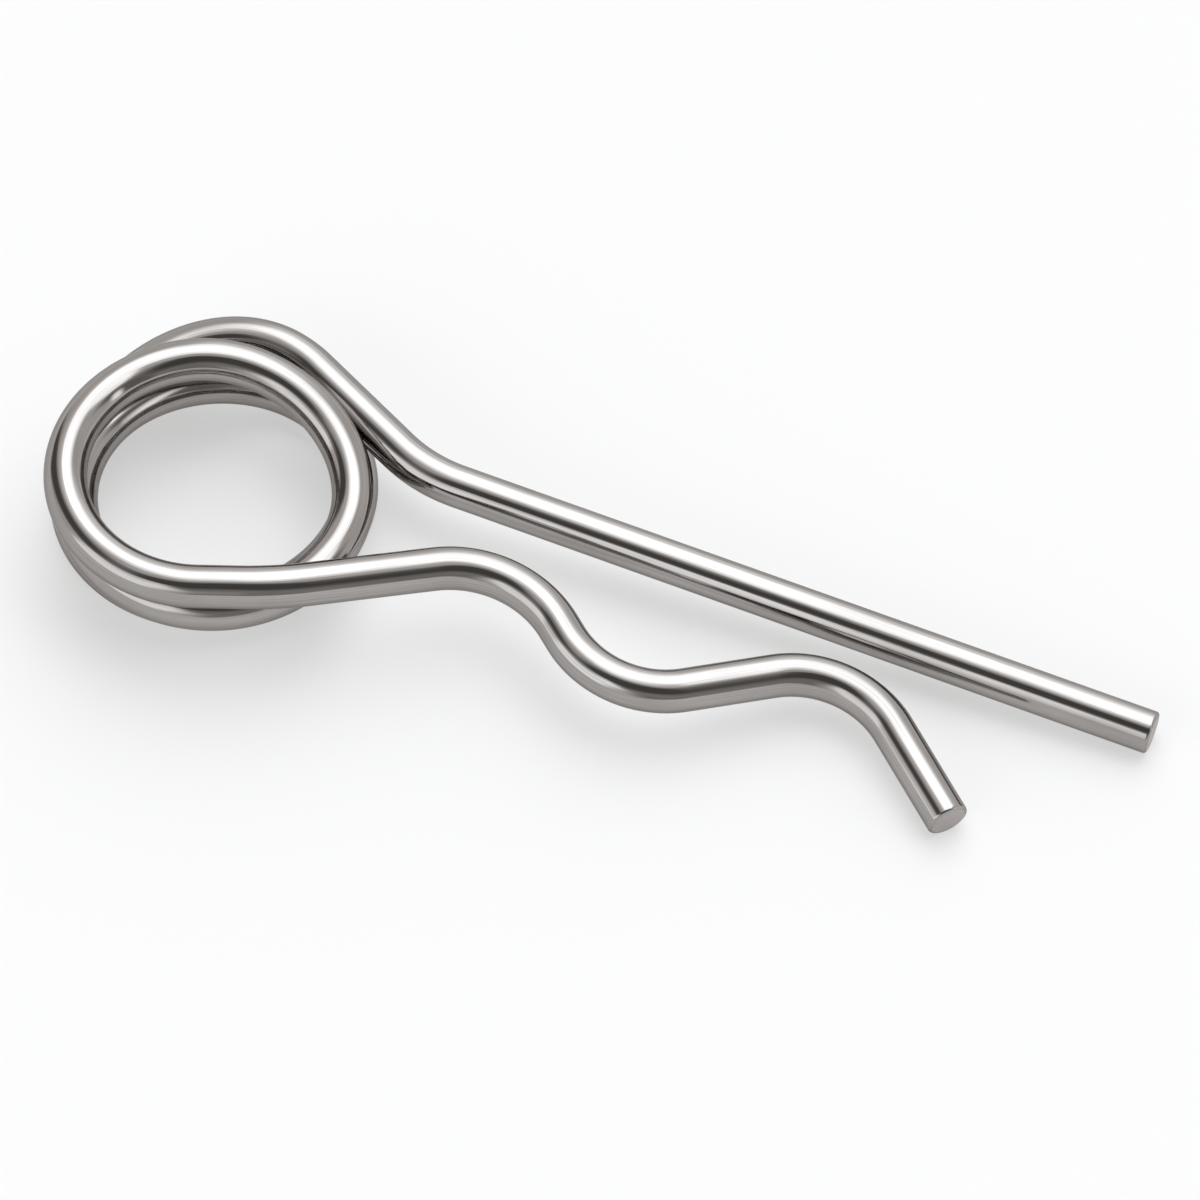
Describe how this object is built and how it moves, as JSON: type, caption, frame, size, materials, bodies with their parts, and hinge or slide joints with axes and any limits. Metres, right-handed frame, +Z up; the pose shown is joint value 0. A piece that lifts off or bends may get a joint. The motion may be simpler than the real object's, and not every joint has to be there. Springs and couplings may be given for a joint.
{
  "type": "double loop beta pin",
  "caption": "Spring wire retaining pin with a looped coil at one end, a straight leg for a cross hole and a wavy leg that grips the outside of the shaft.",
  "frame": {"origin": "under the middle of the pin's outside box, on the floor it lies on", "axes": "+X along the straight leg, from the coil towards the tips; +Y across the pin from the wavy leg towards the straight leg; +Z up, along the axis of the coil"},
  "size_m": [0.1051, 0.0353, 0.0122],
  "materials": {
    "wire": "drawn stainless spring wire, satin, with fine draw lines along the wire and dull cut ends"
  },
  "bodies": {
    "root": {"wire_pin": "wire"}
  },
  "joints": []
}
